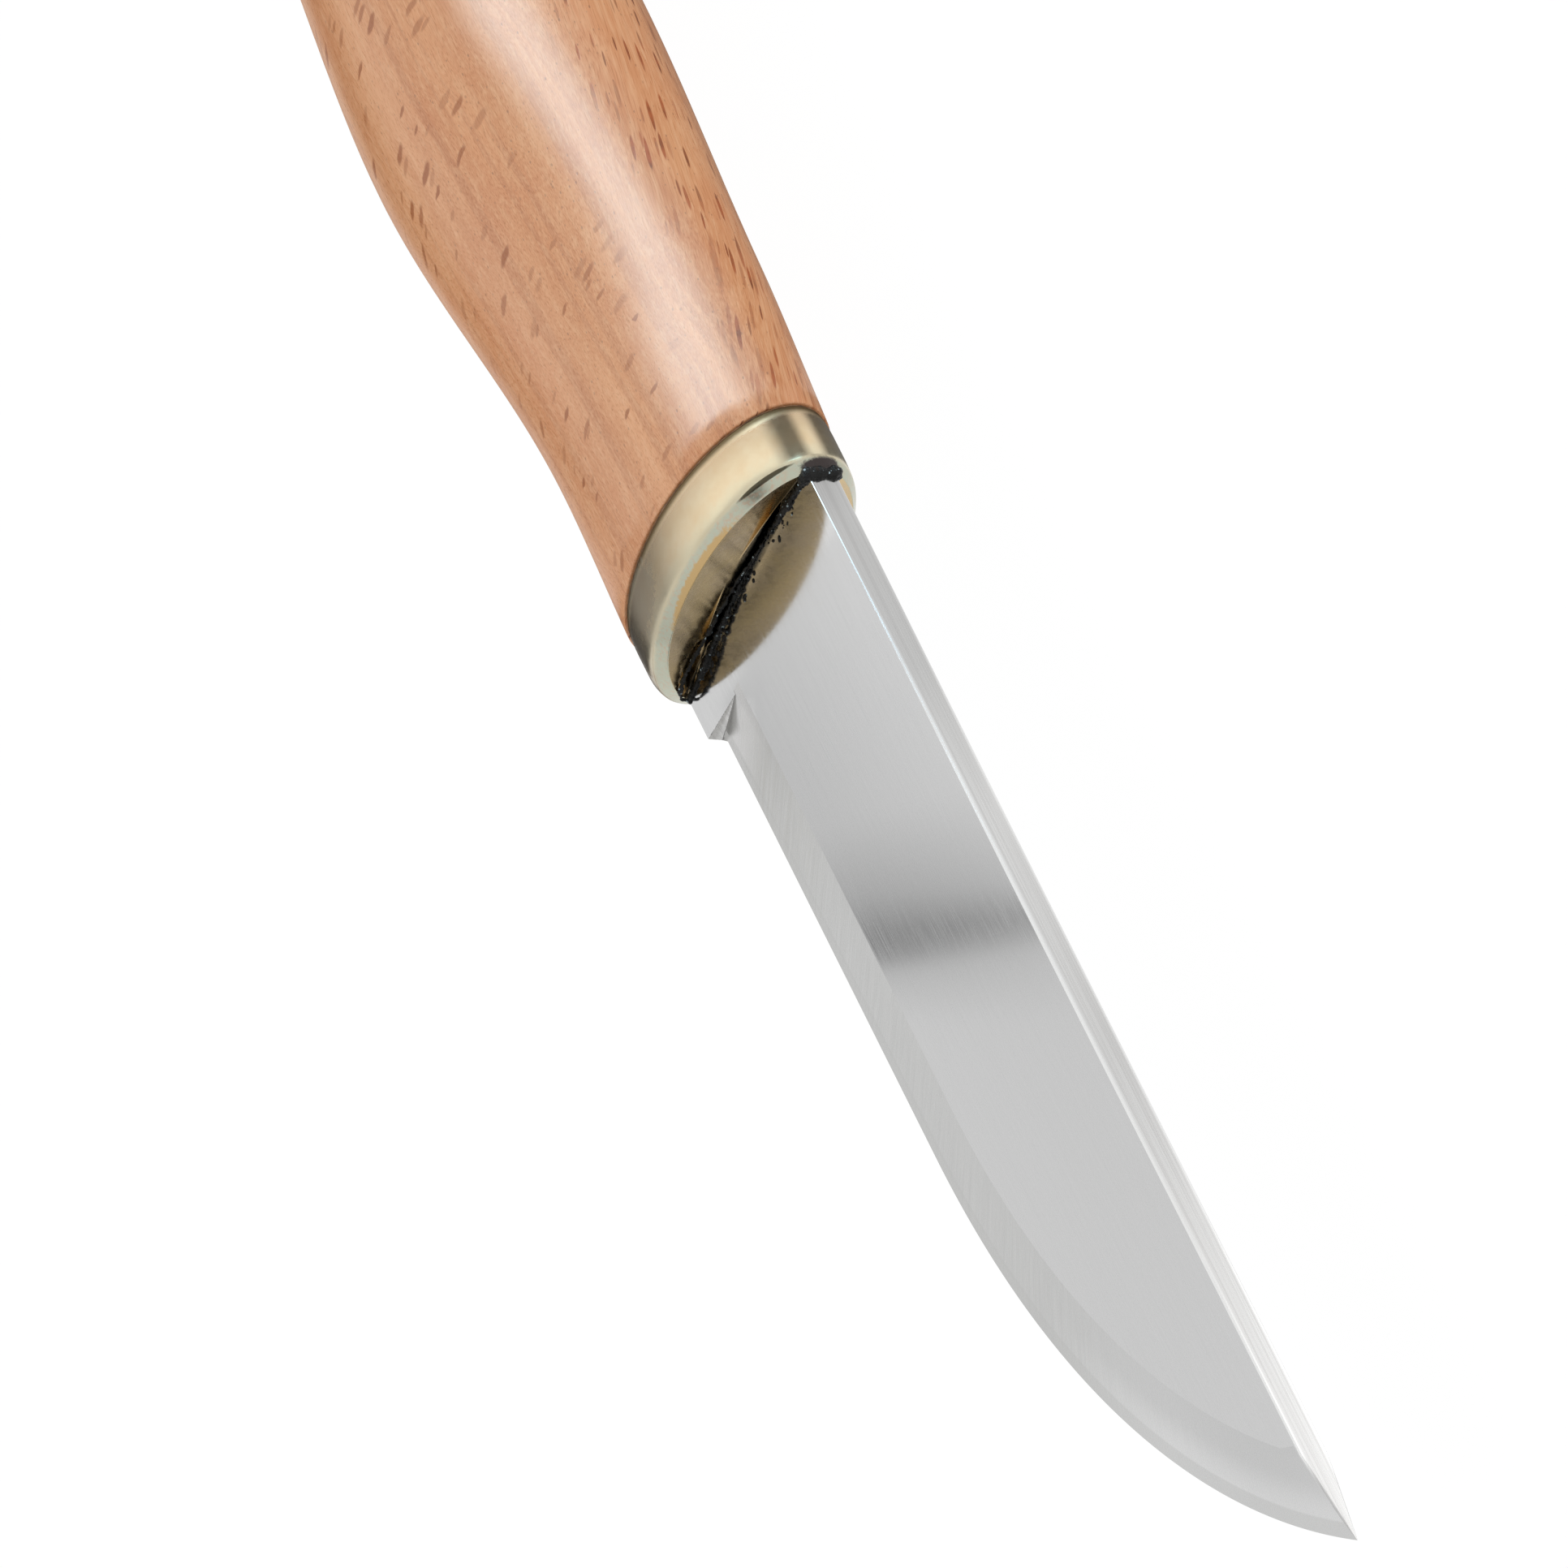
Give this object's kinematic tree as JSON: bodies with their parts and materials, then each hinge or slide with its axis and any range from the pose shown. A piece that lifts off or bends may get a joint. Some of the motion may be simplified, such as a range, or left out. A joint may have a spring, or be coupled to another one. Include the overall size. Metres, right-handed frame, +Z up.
{
  "type": "hunting knife",
  "caption": "Fixed-blade hunting knife with a straight spine, flat-ground bevel, oval dished metal ferrule and shaped wooden handle.",
  "frame": {"origin": "on the surface that the knife lies on, under the middle of its box", "axes": "+X from butt to tip, +Y from cutting edge to spine, +Z up out of the blade's right face"},
  "size_m": [0.225, 0.0306, 0.0204],
  "materials": {
    "blade_steel": "satin ground",
    "plated_ferrule": "yellow plated, semi-bright",
    "black_epoxy": "cured glossy bead",
    "brown_glue": "cured glue line",
    "beech": "clear lacquer, satin"
  },
  "bodies": {
    "root": {"blade": "blade_steel", "ferrule": "plated_ferrule", "slot_seal": "black_epoxy", "ferrule_adhesive": "brown_glue", "tang_bedding": "black_epoxy", "handle": "beech"}
  },
  "joints": []
}
